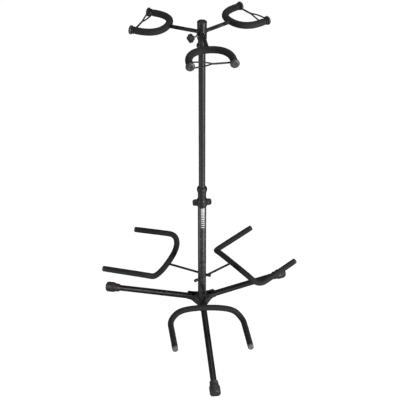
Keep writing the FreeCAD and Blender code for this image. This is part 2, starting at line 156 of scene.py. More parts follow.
def leg_direction(station):
    """Outward direction of a leg tube in the unturned frame, from its inner and outer halves."""
    tube = unturned_points(station + "_leg", STATIONS[station])
    middle = sum(point.x for point in tube) / len(tube)
    inner = mean([point for point in tube if point.x < middle])
    outer = mean([point for point in tube if point.x >= middle])
    inner.y = outer.y = 0
    return (outer - inner).normalized()


LEG_DIRECTIONS = {station: leg_direction(station) for station in STATIONS}


# ------------------------------------------------------------------ shape helpers
# Shapes are passed about as "data": a pair of a vertex list and a face list.
def soften(outline, radius, steps):
    """Round the corners of a closed 2-D outline; radius is one number or one per point."""
    rounded = []
    for i, corner in enumerate(outline):
        corner = Vector(corner)
        corner_radius = radius[i] if isinstance(radius, list) else radius
        back = Vector(outline[i - 1]) - corner
        ahead = Vector(outline[(i + 1) % len(outline)]) - corner
        back_length, ahead_length = back.length, ahead.length
        if corner_radius <= 0 or back_length < 1e-9 or ahead_length < 1e-9:
            rounded.append(corner)
            continue
        back, ahead = back / back_length, ahead / ahead_length
        angle = acos(max(-1, min(1, back.dot(ahead))))
        if angle > pi - 0.05 or angle < 0.05:       # straight on, or folded back
            rounded.append(corner)
            continue
        trim = min(corner_radius / tan(angle / 2), 0.45 * back_length, 0.45 * ahead_length)
        start, end = corner + back * trim, corner + ahead * trim
        for k in range(steps + 1):
            u = k / steps
            rounded.append(start * (1 - u) ** 2 + corner * 2 * u * (1 - u) + end * u * u)
    return rounded


def lathe_data(profile, segments, rounding, corner_steps=3, radius_at=None):
    """Turn a closed (radius, height) outline in mm about Z; axis points become one vertex."""
    verts, faces, rows = [], [], []
    for radius, height in soften(profile, rounding, corner_steps):
        if radius < 1e-6:
            rows.append([len(verts)] * segments)
            verts.append(Vector((0, 0, height)) * MM)
            continue
        rows.append(list(range(len(verts), len(verts) + segments)))
        for k in range(segments):
            angle = 2 * pi * k / segments
            reach = radius_at(radius, angle) if radius_at else radius
            verts.append(Vector((reach * cos(angle), reach * sin(angle), height)) * MM)
    for row, after in zip(rows, rows[1:] + rows[:1]):
        if row[0] == row[1] and after[0] == after[1]:
            continue
        for k in range(segments):
            following = (k + 1) % segments
            quad = [row[k], row[following], after[following], after[k]]
            faces.append(list(dict.fromkeys(quad)))
    return verts, faces


def loft(rings, closed=False, capped=False):
    """Skin a run of rings that all have the same number of points."""
    size = len(rings[0])
    verts = [point for ring in rings for point in ring]
    rows = [list(range(i * size, (i + 1) * size)) for i in range(len(rings))]
    ends = rows[1:] + rows[:1] if closed else rows[1:]
    faces = []
    for row, after in zip(rows, ends):
        for k in range(size):
            following = (k + 1) % size
            faces.append([row[k], row[following], after[following], after[k]])
    if capped:
        faces += [rows[0][::-1], rows[-1]]
    return verts, faces


def prism_data(outline, start, end):
    """An (x, z) outline extruded along Y from start to end."""
    count = len(outline)
    verts = [Vector((x, y, z)) for y in (start, end) for x, z in outline]
    faces = [list(range(count)), list(reversed(range(count, 2 * count)))]
    for i in range(count):
        following = (i + 1) % count
        faces.append([i, i + count, following + count, following])
    return verts, faces


def frames(path):
    """Parallel transport along a path: tangent, normal and binormal at each point."""
    last = len(path) - 1
    tangents = [(path[min(last, i + 1)] - path[max(0, i - 1)]).normalized()
                for i in range(last + 1)]
    up = Vector((0, 0, 1))
    normals = [(up - tangents[0] * up.dot(tangents[0])).normalized()]
    for before, tangent in zip(tangents, tangents[1:]):
        normal = before.rotation_difference(tangent) @ normals[-1]
        normals.append((normal - tangent * normal.dot(tangent)).normalized())
    return [(tangent, normal, tangent.cross(normal))
            for tangent, normal in zip(tangents, normals)]


def tube_data(path, radii, segments):
    """A capped round tube with one radius per point of its path."""
    rings = []
    for centre, radius, (_, normal, side) in zip(path, radii, frames(path)):
        angles = [2 * pi * k / segments for k in range(segments)]
        rings.append([centre + (normal * cos(angle) + side * sin(angle)) * radius
                      for angle in angles])
    return loft(rings, capped=True)


def placed(data, matrix):
    return [matrix @ point for point in data[0]], data[1]


def merge_data(parts):
    verts, faces = [], []
    for part_verts, part_faces in parts:
        offset = len(verts)
        verts += part_verts
        faces += [[index + offset for index in face] for face in part_faces]
    return verts, faces


def resample(path, step):
    marks = [0.0]
    for start, end in zip(path, path[1:]):
        marks.append(marks[-1] + (end - start).length)
    length = marks[-1]
    count = max(2, int(round(length / step)))
    even, j = [], 0
    for i in range(count + 1):
        run = length * i / count
        while j < len(marks) - 2 and marks[j + 1] < run:
            j += 1
        u = (run - marks[j]) / max(1e-12, marks[j + 1] - marks[j])
        even.append(path[j].lerp(path[j + 1], min(1.0, max(0.0, u))))
    return even


def relax(path, rounds):
    """Smooth a run of vectors, keeping both ends."""
    for _ in range(rounds):
        inside = [path[i] * 0.5 + (path[i - 1] + path[i + 1]) * 0.25
                  for i in range(1, len(path) - 1)]
        path = path[:1] + inside + path[-1:]
    return path


def bezier(controls, steps):
    """Bezier curve of two, three or four control points."""
    curve = []
    for i in range(steps + 1):
        u = i / steps
        weights = {2: [1 - u, u],
                   3: [(1 - u) ** 2, 2 * u * (1 - u), u * u],
                   4: [(1 - u) ** 3, 3 * (1 - u) ** 2 * u, 3 * (1 - u) * u * u, u ** 3]}
        pairs = zip(controls, weights[len(controls)])
        curve.append(sum((point * weight for point, weight in pairs), Vector((0, 0, 0))))
    return curve


def basis(origin, direction, across=None):
    """Matrix taking local +Z along direction, and local +X towards across if it is given."""
    z = Vector(direction).normalized()
    if across is None:
        rotation = Vector((0, 0, 1)).rotation_difference(z).to_matrix().to_4x4()
    else:
        x = (across - z * across.dot(z)).normalized()
        y = z.cross(x)
        rotation = Matrix(((x.x, y.x, z.x, 0), (x.y, y.y, z.y, 0), (x.z, y.z, z.z, 0),
                           (0, 0, 0, 1)))
    return Matrix.Translation(Vector(origin)) @ rotation


# ------------------------------------------------------------------ object helpers
def link(name, data, sharp=35.0):
    """Make a smooth-shaded object; edges over the sharp angle (degrees) stay crisp."""
    mesh = bpy.data.meshes.new(name)
    mesh.from_pydata([tuple(point) for point in data[0]], [], data[1])
    mesh.validate()
    mesh.update()
    work = bmesh.new()
    work.from_mesh(mesh)
    bmesh.ops.remove_doubles(work, verts=work.verts, dist=1e-7)
    bmesh.ops.recalc_face_normals(work, faces=work.faces)
    work.to_mesh(mesh)
    work.free()
    for polygon in mesh.polygons:
        polygon.use_smooth = True
    mesh.set_sharp_from_angle(angle=radians(sharp))
    obj = bpy.data.objects.new(name, mesh)
    bpy.context.scene.collection.objects.link(obj)
    return obj


def move(obj, matrix):
    obj.data.transform(matrix)
    obj.data.update()
    return obj


def lathe(name, profile, segments, rounding, origin=(0, 0, 0), direction=(0, 0, 1)):
    obj = link(name, lathe_data(profile, segments, rounding))
    return move(obj, basis(origin, direction))


def apply_modifiers(obj):
    graph = bpy.context.evaluated_depsgraph_get()
    graph.update()
    mesh = bpy.data.meshes.new_from_object(obj.evaluated_get(graph))
    obj.modifiers.clear()
    before = obj.data
    obj.data = mesh
    bpy.data.meshes.remove(before)


def remesh(name, parts, voxel, smooth):
    """One closed moulded skin round overlapping closed shapes."""
    verts, faces = merge_data(parts)
    mesh = bpy.data.meshes.new(name)
    mesh.from_pydata([tuple(point) for point in verts], [], faces)
    mesh.update()
    obj = bpy.data.objects.new(name, mesh)
    bpy.context.scene.collection.objects.link(obj)
    skin = obj.modifiers.new("skin", "REMESH")
    skin.mode = "VOXEL"
    skin.voxel_size = voxel
    skin.use_smooth_shade = True
    smoothing = obj.modifiers.new("smoothing", "SMOOTH")
    smoothing.factor = 0.5
    smoothing.iterations = smooth
    apply_modifiers(obj)
    for polygon in obj.data.polygons:
        polygon.use_smooth = True
    return obj


def put(obj, body, material, node):
    """Move a piece out to the column's axis and hand it over in place of its CAD node."""
    obj.data.transform(Matrix.Translation(AXIS))
    obj.data.materials.clear()
    obj.data.materials.append(material)
    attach(obj, body)
    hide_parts(node)


# ------------------------------------------------------------------ material helpers
def fill(node, **values):
    """Set or link a node's inputs; an underscore in a key stands for a space."""
    for key, value in values.items():
        socket = node.inputs[key.replace("_", " ")]
        if isinstance(value, bpy.types.NodeSocket):
            node.id_data.links.new(value, socket)
        else:
            socket.default_value = value


def scaled(color, factor, lift=0.0):
    return tuple(min(1, factor * channel + lift) for channel in color)


class Surface:
    """A Principled material with textures in object coordinates; scales are per metre."""

    def __init__(self, name, rough, metal=0.0, specular=0.5):
        self.material = bpy.data.materials.new(name)
        self.material.use_nodes = True
        self.tree = self.material.node_tree
        self.shader = self.tree.nodes["Principled BSDF"]
        fill(self.shader, Roughness=rough, Metallic=metal, Specular_IOR_Level=specular)
        self.coords = self.node("TexCoord").outputs["Object"]
        self.normal = None

    def node(self, kind, **values):
        node = self.tree.nodes.new("ShaderNode" + kind)
        fill(node, **values)
        return node

    def noise(self, scale, detail=4.0, rough=0.6, vector=None):
        node = self.node("TexNoise", Vector=vector or self.coords, Scale=scale, Detail=detail,
                         Roughness=rough)
        return node.outputs["Fac"]

    def streaks(self, scales, detail=2.0, rough=0.5):
        """Noise stretched by its own scale on each axis."""
        mapping = self.node("Mapping", Scale=scales, Vector=self.coords)
        return self.noise(scale=1.0, detail=detail, rough=rough,
                          vector=mapping.outputs["Vector"])

    def cells(self, scale):
        return self.node("TexVoronoi", Vector=self.coords, Scale=scale).outputs["Distance"]

    def remap(self, value, span, to=(0.0, 1.0)):
        node = self.node("MapRange", Value=value, From_Min=span[0], From_Max=span[1],
                         To_Min=to[0], To_Max=to[1])
        return node.outputs["Result"]

    def math(self, operation, *values):
        node = self.node("Math")
        node.operation = operation
        for socket, value in zip(node.inputs, values):
            if isinstance(value, bpy.types.NodeSocket):
                self.tree.links.new(value, socket)
            else:
                socket.default_value = value
        return node.outputs[0]

    def mix(self, amount, under, over):
        """Lay one colour over another; either may be a socket or an RGB triple."""
        node = self.node("Mix")
        node.data_type = "RGBA"
        sockets = [socket for socket in node.inputs if socket.enabled]
        for socket, value in zip(sockets, (amount, under, over)):
            if isinstance(value, bpy.types.NodeSocket):
                self.tree.links.new(value, socket)
            else:
                socket.default_value = (*value, 1)
        return [socket for socket in node.outputs if socket.enabled][0]

    def mottle(self, cloud, base, dark, light, span=(0.3, 0.7)):
        """Vary the base colour between a darker and a lighter multiple of itself."""
        return self.mix(self.remap(cloud, span=span), scaled(base, dark), scaled(base, light))

    def edges(self, span, most):
        """Mask of the protruding edges."""
        pointiness = self.node("NewGeometry").outputs["Pointiness"]
        return self.remap(pointiness, span=span, to=(0.0, most))

    def paint(self, color, rough):
        fill(self.shader, Base_Color=color, Roughness=rough)

    def bump(self, height, distance, strength):
        """Stack one more bump on those already there; distance is in metres."""
        node = self.node("Bump", Strength=strength, Distance=distance, Height=height)
        if self.normal:
            fill(node, Normal=self.normal)
        self.normal = node.outputs["Normal"]
        fill(self.shader, Normal=self.normal)


# ------------------------------------------------------------------ materials
def powder_coat(name, base, rough=0.42, scuffs=0.0, specular=0.5):
    """Satin black powder coat: orange peel, faint mottling, dust, optional upright scuffs."""
    look = Surface(name, rough, specular=specular)
    peel = look.noise(scale=1100, detail=2.0, rough=0.5)
    fine = look.noise(scale=3800, detail=3.0)
    cloud = look.noise(scale=24)
    dust = look.noise(scale=85, detail=6.0, rough=0.7)
    color = look.mottle(cloud, base, dark=0.82, light=1.2, span=(0.3, 0.75))
    dusty = look.remap(dust, span=(0.6, 0.9), to=(0.0, 0.10))
    color = look.mix(dusty, color, over=(0.05, 0.049, 0.047))
    gloss = look.remap(cloud, span=(0.2, 0.8), to=(rough - 0.025, rough + 0.04))
    if scuffs:
        lines = look.streaks(scales=(1500, 1500, 9))
        patch = look.noise(scale=11, detail=3.0)
        rubbed = look.math("MULTIPLY", look.remap(lines, span=(0.62, 0.74)),
                           look.remap(patch, span=(0.45, 0.7), to=(0.0, scuffs)))
        color = look.mix(rubbed, color, over=(0.085, 0.085, 0.088))
        polish = 0.12       # roughness lost where rubbed
        gloss = look.math("SUBTRACT", gloss, look.math("MULTIPLY", rubbed, polish))
    worn = look.edges(span=(0.53, 0.62), most=0.35)
    worn = look.math("MULTIPLY", worn, look.remap(dust, span=(0.4, 0.7)))
    color = look.mix(worn, color, over=(0.11, 0.11, 0.11))
    look.paint(color, gloss)
    look.bump(peel, distance=0.00003, strength=0.25)
    look.bump(fine, distance=0.000006, strength=0.2)
    fill(look.shader, Coat_Weight=0.06 * specular, Coat_Roughness=0.25)
    return look.material


def foam(name, base):
    """Closed-cell foam: open pores on the skin with painted shade in them, soft mottling and a
    faint grey bloom.
    """
    look = Surface(name, rough=0.92, specular=0.22)
    pores = look.cells(scale=1500)
    bubbles = look.cells(scale=620)
    fuzz = look.noise(scale=2600, detail=3.0, rough=0.65)
    cloud = look.noise(scale=38)
    dents = look.noise(scale=150, detail=2.0, rough=0.5)
    color = look.mottle(cloud, base, dark=0.78, light=1.28)
    # painted shade: each pore is darkened towards a third of the base colour, as shade in a
    # hollow
    pore_shade = look.remap(pores, span=(0.05, 0.32), to=(0.75, 0.0))
    color = look.mix(pore_shade, color, over=scaled(base, factor=0.32))
    bloom = look.remap(fuzz, span=(0.58, 0.82), to=(0.0, 0.25))
    color = look.mix(bloom, color, over=(0.022, 0.022, 0.022))
    look.paint(color, look.remap(cloud, span=(0.2, 0.8), to=(0.62, 0.80)))
    look.bump(dents, distance=0.0004, strength=0.3)
    look.bump(bubbles, distance=0.00022, strength=0.4)
    look.bump(pores, distance=0.00025, strength=0.7)
    look.bump(fuzz, distance=0.00006, strength=0.5)
    fill(look.shader, Sheen_Weight=0.03, Sheen_Roughness=0.6)
    return look.material


def rubber(name, base, rough, dusty, grain=1800):
    """Dull rubber with a dusty bloom and paler edges."""
    look = Surface(name, rough, specular=0.35)
    fine = look.noise(scale=grain)
    cloud = look.noise(scale=45, detail=5.0, rough=0.65)
    bloom = look.noise(scale=130, detail=6.0, rough=0.7)
    color = look.mottle(cloud, base, dark=0.8, light=1.25)
    dust = look.remap(bloom, span=(0.5, 0.85), to=(0.0, dusty))
    color = look.mix(dust, color, over=(0.09, 0.088, 0.085))
    color = look.mix(look.edges(span=(0.52, 0.6), most=0.3), color, over=(0.07, 0.07, 0.07))
    look.paint(color, look.remap(bloom, span=(0.25, 0.8), to=(rough - 0.1, rough + 0.14)))
    look.bump(cloud, distance=0.00025, strength=0.25)
    look.bump(fine, distance=0.00005, strength=0.45)
    return look.material


def plastic(name, base, rough=0.42, specular=0.5):
    """Grained moulding with paler edges and scratches."""
    look = Surface(name, rough, specular=specular)
    grain = look.cells(scale=2400)
    fine = look.noise(scale=900, detail=3.0, rough=0.5)
    cloud = look.noise(scale=30, detail=3.0)
    scratches = look.streaks(scales=(260, 1900, 400))
    color = look.mottle(cloud, base, dark=0.88, light=1.16)
    worn = look.edges(span=(0.53, 0.62), most=0.35)
    color = look.mix(worn, color, over=scaled(base, factor=3.2, lift=0.03))
    scratched = look.remap(scratches, span=(0.7, 0.78), to=(0.0, 0.25))
    color = look.mix(scratched, color, over=scaled(base, factor=2.5, lift=0.02))
    look.paint(color, look.remap(fine, span=(0.3, 0.7), to=(rough - 0.04, rough + 0.08)))
    look.bump(fine, distance=0.00006, strength=0.25)
    look.bump(grain, distance=0.00004, strength=0.5)
    return look.material


def steel(name, base, rough):
    """Turned steel with a cloudy finish."""
    look = Surface(name, rough, metal=1.0)
    turning = look.streaks(scales=(900, 900, 60))
    cloud = look.noise(scale=160)
    color = look.mottle(cloud, base, dark=0.75, light=1.15)
    look.paint(color, look.remap(cloud, span=(0.25, 0.75), to=(rough - 0.06, rough + 0.16)))
    look.bump(turning, distance=0.00003, strength=0.35)
    look.bump(cloud, distance=0.00004, strength=0.2)
    return look.material


def label_foil(name, bottom, top):
    """Silver foil with a ladder of dark bars, thinner and closer towards the lower end."""
    bar_centre, bar_half = 0.0009, 0.0052      # metres across the label
    density, power, start = 15.0, 0.62, 1.06   # how the bars follow each other downwards
    look = Surface(name, rough=0.32, metal=0.25)
    place = look.node("SeparateXYZ", Vector=look.coords)
    height = look.remap(place.outputs["Z"], span=(bottom, top))
    grain = look.streaks(scales=(2600, 2600, 160), detail=3.0, rough=0.6)
    rub = look.noise(scale=420, rough=0.7)
    phase = look.math("POWER", look.math("SUBTRACT", start, height), power)
    phase = look.math("MULTIPLY", phase, density)
    gap = look.remap(height, span=(0.0, 1.0), to=(0.78, 0.24))
    bars = look.math("GREATER_THAN", look.math("FRACT", phase), gap)
    across = look.math("ADD", place.outputs["X"], -bar_centre - AXIS.x)
    inside = look.math("LESS_THAN", look.math("ABSOLUTE", across), bar_half)
    ink = look.math("MULTIPLY", bars, inside)
    ink = look.math("MULTIPLY", ink, look.remap(rub, span=(0.3, 0.45), to=(0.72, 1.0)))
    color = look.mix(ink, (0.035, 0.035, 0.037), over=(0.50, 0.51, 0.52))
    brushed = look.remap(grain, span=(0.35, 0.65), to=(0.0, 0.18))
    color = look.mix(brushed, color, over=(0.3, 0.3, 0.31))
    look.paint(color, look.remap(grain, span=(0.3, 0.7), to=(0.26, 0.42)))
    look.bump(ink, distance=0.00003, strength=0.6)
    look.bump(grain, distance=0.00002, strength=0.25)
    return look.material


TUBE_PAINT = powder_coat("tube_paint", base=(0.008, 0.008, 0.0088), rough=0.27, scuffs=0.05)
UPPER_PAINT = powder_coat("upper_tube_paint", base=(0.012, 0.012, 0.013), rough=0.27,
                          scuffs=0.12)
# painted shade: the rods, cores and arms get a darker copy of the tube paint, to hold down the
# light along their near-level tops
ROD_PAINT_SHADED = powder_coat("rod_paint", base=(0.0025, 0.0025, 0.0028), rough=0.52, specular=0.12)
# painted shade: the legs get a darker copy of the tube paint, to hold down the light falling on
# their upward faces
LEG_PAINT_SHADED = powder_coat("leg_paint_shaded", base=(0.004, 0.004, 0.0044), rough=0.38, specular=0.32)
HUB_PAINT = powder_coat("hub_paint", base=(0.011, 0.011, 0.012))
CRADLE_FOAM = foam("foam_sleeve", base=(0.0050, 0.0050, 0.0052))
YOKE_FOAM = foam("foam_sleeve_neck", base=(0.0062, 0.0062, 0.0064))
FOOT_RUBBER = rubber("foot_rubber", base=(0.016, 0.0155, 0.0155), rough=0.5, dusty=0.22)
CAP_RUBBER = rubber("cap_rubber", base=(0.022, 0.022, 0.0225), rough=0.42, dusty=0.16)
# painted shade: the straps get a darker copy of the black rubber, to hold down the highlight
# along the strands
STRAP_RUBBER_SHADED = rubber("strap_rubber", base=(0.006, 0.006, 0.0063), rough=0.5, dusty=0.06,
                      grain=2400)
RING_RUBBER = rubber("ring_rubber", base=(0.003, 0.003, 0.0033), rough=0.55, dusty=0.04)
BLACK_NYLON = plastic("moulded_nylon", base=(0.008, 0.008, 0.0087), specular=0.32)
HEAD_NYLON = plastic("head_nylon", base=(0.009, 0.009, 0.0097), specular=0.36)
PLUG_GREY = plastic("end_plug_grey", base=(0.016, 0.016, 0.0165), rough=0.5, specular=0.3)
# painted highlight: a lighter copy of the grey end plug, for the front cradle's tips whose end
# faces catch the light
PLUG_PAINTED_LIT = plastic("end_plug_painted_lit", base=(0.075, 0.075, 0.076), rough=0.5, specular=0.35)
NATURAL_NYLON = plastic("natural_nylon", base=(0.62, 0.60, 0.54), rough=0.45)
ZINC_STEEL = steel("zinc_steel", base=(0.45, 0.45, 0.46), rough=0.32)
DARK_STEEL = steel("blackened_rivet", base=(0.05, 0.05, 0.052), rough=0.42)
BAND_RED = plastic("band_dark_red", base=(0.10, 0.012, 0.02))


# ------------------------------------------------------------------ foam sleeves
SLEEVE_STEP = 0.0016       # spacing of the rings
SLEEVE_SEGMENTS = 40
SLEEVE_LIP = 0.0009        # rounding of the cut ends
SLEEVE_WAVE = 0.00014      # height of the soft undulation
FOLD_PITCH = 0.0052        # spacing of the gathers
FOLD_FROM = 3.0            # curvature (1/m) where gathers begin
FOLD_RANGE = 18.0          # further curvature until they are full
FOLD_DEPTH = 0.00085
FOLD_SWELL = 0.0003        # bulge between gathers


def cradle_half():
    """The +Y half of a cradle's path, from the middle of the bar to the end."""
    middle = Vector((CRADLE_BAR_X, 0, 0))
    pull = Vector((CRADLE_BAR_X, CRADLE_CORNER.y * 0.66, 0))
    bend_start = CRADLE_CORNER + (pull - CRADLE_CORNER).normalized() * CRADLE_BEND
    bend_end = CRADLE_CORNER + (CRADLE_END - CRADLE_CORNER).normalized() * CRADLE_BEND
    return (bezier([middle, pull, bend_start], 30)
            + bezier([bend_start, CRADLE_CORNER, bend_end], 18)[1:]
            + bezier([bend_end, CRADLE_END], 24)[1:])


def yoke_half():
    """The +Y half of a yoke's path: a curve, then a straight prong."""
    controls = [Vector((YOKE_APEX_X, 0, 0)), Vector((YOKE_APEX_X, 0.045, 0)),
                Vector((0.129, YOKE_HALF + 0.001, 0)), Vector((YOKE_STRAIGHT_X, YOKE_HALF, 0))]
    prong = [Vector((YOKE_STRAIGHT_X + YOKE_STRAIGHT_LENGTH * k / 6, YOKE_HALF, 0))
             for k in range(1, 7)]
    return bezier(controls, 40) + prong


def mirrored(half):
    other = [Vector((point.x, -point.y, point.z)) for point in reversed(half)]
    return other[:-1] + half


def cut_at(half, x):
    """End a half path at a given x, beyond its bends."""
    kept = [point for point in half if point.x < x - 0.0005 or point.x < 0.15]
    start, end = half[-2], half[-1]
    kept.append(start + (end - start) * ((x - start.x) / (end.x - start.x)))
    return kept


def sleeve_data(path, outer, bore, seed):
    """A sleeve on a bent rod: soft waves, gathers on the inner side of bends, cut ends."""
    path = relax(resample(path, SLEEVE_STEP), 10)
    axes = frames(path)
    bends = [(after - 2 * here + before) / SLEEVE_STEP ** 2
             for before, here, after in zip(path, path[1:], path[2:])]
    bends = relax([Vector((0, 0, 0))] + bends + [Vector((0, 0, 0))], 12)
    offset = Vector((seed * 3.7, seed * 1.3, seed * 5.1))
    angles = [2 * pi * k / SLEEVE_SEGMENTS for k in range(SLEEVE_SEGMENTS)]
    skin, spokes = [], []
    run = 0.0
    for i, centre in enumerate(path):
        if i:
            run += (centre - path[i - 1]).length
        _, normal, side = axes[i]
        curvature = bends[i].length
        spokes.append([normal * cos(angle) + side * sin(angle) for angle in angles])
        ring = []
        for spoke in spokes[i]:
            spot = centre + spoke * outer + offset
            radius = outer
            radius += SLEEVE_WAVE * noise.noise(spot * 42)
            radius += SLEEVE_WAVE * 0.6 * noise.noise(spot * 130)
            if curvature > FOLD_FROM:
                inward = max(0.0, spoke.dot(bends[i] / curvature))
                gather = min(1.0, (curvature - FOLD_FROM) / FOLD_RANGE) * inward ** 2
                phase = run / FOLD_PITCH + 2.6 * noise.noise(spot * 60)
                fold = (0.5 + 0.5 * cos(2 * pi * phase)) ** 3
                radius -= gather * FOLD_DEPTH * fold
                radius += gather * FOLD_SWELL * (1 - fold)
            ring.append(centre + spoke * radius)
        skin.append(ring)

    def mouth(end, outward):
        """Rings of one cut end, from inside the bore out to the skin."""
        centre = path[end]
        rings = []
        for radius, shift in ((bore, -0.004), (bore, 0.0), (bore + 0.0004, 0.0002)):
            rings.append([centre + spoke * radius + outward * shift for spoke in spokes[end]])
        for inset, shift in ((SLEEVE_LIP, 0.0001), (SLEEVE_LIP * 0.3, -SLEEVE_LIP * 0.3)):
            rings.append([centre + spoke * ((point - centre).length - inset) + outward * shift
                          for point, spoke in zip(skin[end], spokes[end])])
        return rings

    # the bore follows the rod back through the whole sleeve
    inside = [[path[i] + spoke * bore for spoke in spokes[i]]
              for i in range(len(path) - 4, 3, -3)]
    rings = mouth(0, -axes[0][0]) + skin[1:-1] + mouth(-1, axes[-1][0])[::-1] + inside
    return loft(rings, closed=True)


CRADLE_HALF_PATH = cradle_half()
YOKE_HALF_PATH = yoke_half()


def foam_end(node, azimuth):
    return max(point.x for point in unturned_points(node, azimuth))


for i, station in enumerate(STATIONS):
    node = station + "_cradle_foam"
    end = foam_end(node, STATIONS[station])
    path = mirrored(cut_at(CRADLE_HALF_PATH, end - CRADLE_FOAM_SHORT))
    sleeve = link(node + "_skin", sleeve_data(path, outer=0.009, bore=0.00515, seed=i + 1))
    move(sleeve, cradle_matrix(station))
    put(sleeve, station + "_cradle", CRADLE_FOAM, node)

    node = station + "_yoke_foam"
    path = mirrored(cut_at(YOKE_HALF_PATH, foam_end(node, HEAD_AZIMUTHS[station])))
    sleeve = link(node + "_skin", sleeve_data(path, outer=0.0093, bore=0.00545, seed=i + 5))
    move(sleeve, yoke_matrix(station))
    put(sleeve, "head", YOKE_FOAM, node)


# ------------------------------------------------------------------ cradle end caps, rod caps
# (radius, distance along the cap's axis), mm
CRADLE_TIP = [
    (5.05, -5.6), (8.3, -5.6), (8.75, -5.1), (8.8, -1.2), (8.45, -0.9), (8.45, -0.4), (8.8, 0.0),
    (8.7, 1.2), (7.9, 2.3), (6.4, 2.85), (4.2, 2.95), (3.5, 2.2), (1.2, 2.1), (0.9, 2.5),
    (0, 2.6), (0, 0.0), (5.05, 0.0)]
ROD_CAP = [
    (3.55, 0.0), (4.3, 0.0), (4.8, 0.5), (4.85, 1.3), (4.5, 1.7), (4.5, 2.2), (4.8, 2.6),
    (4.75, 8.4), (4.3, 9.9), (3.0, 10.8), (1.0, 11.0), (0, 11.0), (0, 8.6), (3.55, 8.6)]


def cap_pair(name, cap, end, direction):
    """The same cap on both ends of a path, mirrored in Y."""
    parts = []
    for side in (1, -1):
        flip = Vector((1, side, 1))
        parts.append(placed(cap, basis(end * flip, direction * flip)))
    return link(name, merge_data(parts), sharp=40)


for station in STATIONS:
    end = CRADLE_HALF_PATH[-1]
    direction = (end - CRADLE_HALF_PATH[-2]).normalized()
    tips = cap_pair(station + "_cradle_tips", lathe_data(CRADLE_TIP, 64, 0.35), end, direction)
    move(tips, cradle_matrix(station))
    # the front cradle's tips take the lighter copy of the plug, a painted highlight
    put(tips, station + "_cradle", PLUG_PAINTED_LIT if station == "front" else PLUG_GREY,
        station + "_cradle_end_caps")

    # rubber cap on the inner end of the rod, past the column's axis
    outward = joint_axis(station + "_cradle_turn")
    mouth = joint_position(station + "_cradle_turn") - outward * ROD_CAP_INSET
    cap = lathe(station + "_rod_end_cap", ROD_CAP, 56, 0.4, mouth, -outward)
    put(cap, station + "_cradle", RING_RUBBER, station + "_cradle_rod_cap")


# ------------------------------------------------------------------ yoke end caps and straps
# (radius, distance along the prong), mm
YOKE_CAP = [
    (5.4, -12.6), (7.9, -12.6), (8.1, -12.2), (8.1, -10.6), (7.6, -10.2), (6.5, -9.6),
    (6.5, -3.4), (8.0, -3.1), (10.6, -2.7), (11.8, -1.6), (12.0, -0.6), (12.0, 1.4), (11.5, 2.6),
    (10.2, 3.5), (8.6, 4.2), (5.2, 4.6), (4.3, 3.9), (1.4, 3.75), (1.0, 4.1), (0, 4.15),
    (0, 0.08), (5.4, 0.08)]
STRAP_BORE_R = 0.00655      # inner radius of the eye and of the loop's end
STRAP_WIDTH = 0.0034        # of the eye, in the strap's plane
STRAP_THICK = 0.004
STRAND_HEIGHT = 0.0046      # of the single strand
LOOP_CROTCH_Y = -0.001      # where the two strands of the loop part
LOOP_PART_Z = 0.0009        # half their spacing there


def band(path, width, closed):
    """A rounded rectangular strand swept in the plane of y and z."""
    section = soften([(-width / 2, -STRAP_THICK / 2), (width / 2, -STRAP_THICK / 2),
                      (width / 2, STRAP_THICK / 2), (-width / 2, STRAP_THICK / 2)],
                     min(width, STRAP_THICK) * 0.36, 3)
    count = len(path)
    rings = []
    for i, centre in enumerate(path):
        before = path[i - 1] if closed or i else path[0]
        after = path[(i + 1) % count] if closed or i < count - 1 else path[-1]
        tangent = (after - before).normalized()
        normal = Vector((0, -tangent.z, tangent.y))
        rings.append([centre + normal * point.x + Vector((point.y, 0, 0)) for point in section])
    return loft(rings, closed=closed, capped=not closed)


def strap_mesh(name):
    """A flat strap in y and z: an eye on the +Y cap, a long loop round the -Y cap."""
    ring_r = STRAP_BORE_R + STRAP_WIDTH / 2
    eye = []
    for k in range(64):
        angle = 2 * pi * k / 64
        eye.append(Vector((0, YOKE_HALF + ring_r * cos(angle), ring_r * sin(angle))))
    strand = []
    start, end = YOKE_HALF - STRAP_BORE_R - STRAP_WIDTH * 0.6, -0.0035
    for k in range(61):
        u = k / 60
        strand.append(Vector((0, start + (end - start) * u, -0.0004 * sin(pi * u))))
    # two strands that part at the crotch and touch the ring round the other cap
    touch = acos(ring_r / (YOKE_HALF - 0.001))
    upper = Vector((0, -YOKE_HALF + ring_r * cos(touch), ring_r * sin(touch)))
    steps = [k / 25 for k in range(26)]
    loop = [Vector((0, LOOP_CROTCH_Y * (1 - u) + upper.y * u,
                    LOOP_PART_Z + (upper.z - LOOP_PART_Z) * (1 - (1 - u) ** 2.1)))
            for u in steps]
    for k in range(1, 60):
        angle = touch + (2 * pi - 2 * touch) * k / 60
        loop.append(Vector((0, -YOKE_HALF + ring_r * cos(angle), ring_r * sin(angle))))
    loop += [Vector((0, upper.y * (1 - u) + LOOP_CROTCH_Y * u,
                     -LOOP_PART_Z + (-upper.z + LOOP_PART_Z) * (1 - u ** 2.1)))
             for u in steps]
    parts = [band(eye, STRAP_WIDTH, closed=True),
             band(strand, STRAND_HEIGHT, closed=False),
             band(loop, STRAP_WIDTH * 0.98, closed=False)]
    parts[2] = band(loop, STRAP_WIDTH * 0.98, closed=False)
    return remesh(name, parts, voxel=0.00042, smooth=6)


for station in STATIONS:
    caps = cap_pair(station + "_yoke_end_caps", lathe_data(YOKE_CAP, 72, 0.4),
                    Vector((YOKE_TIP_X, YOKE_HALF, 0)), Vector((1, 0, 0)))
    move(caps, yoke_matrix(station))
    put(caps, "head", CAP_RUBBER, station + "_yoke_caps")

    strap = strap_mesh(station + "_rubber_strap")
    reach = [point.x for point in unturned_points(station + "_strap", HEAD_AZIMUTHS[station])]
    middle = Matrix.Translation(((min(reach) + max(reach)) / 2, 0, 0))
    move(strap, yoke_matrix(station) @ middle)
    # the straps wear the darker copy of the rubber, a painted shade
    put(strap, "head", STRAP_RUBBER_SHADED, station + "_strap")


# ------------------------------------------------------------------ legs, feet, leg band
LEG_PIVOT_X = 0.038     # radius of the fold joints
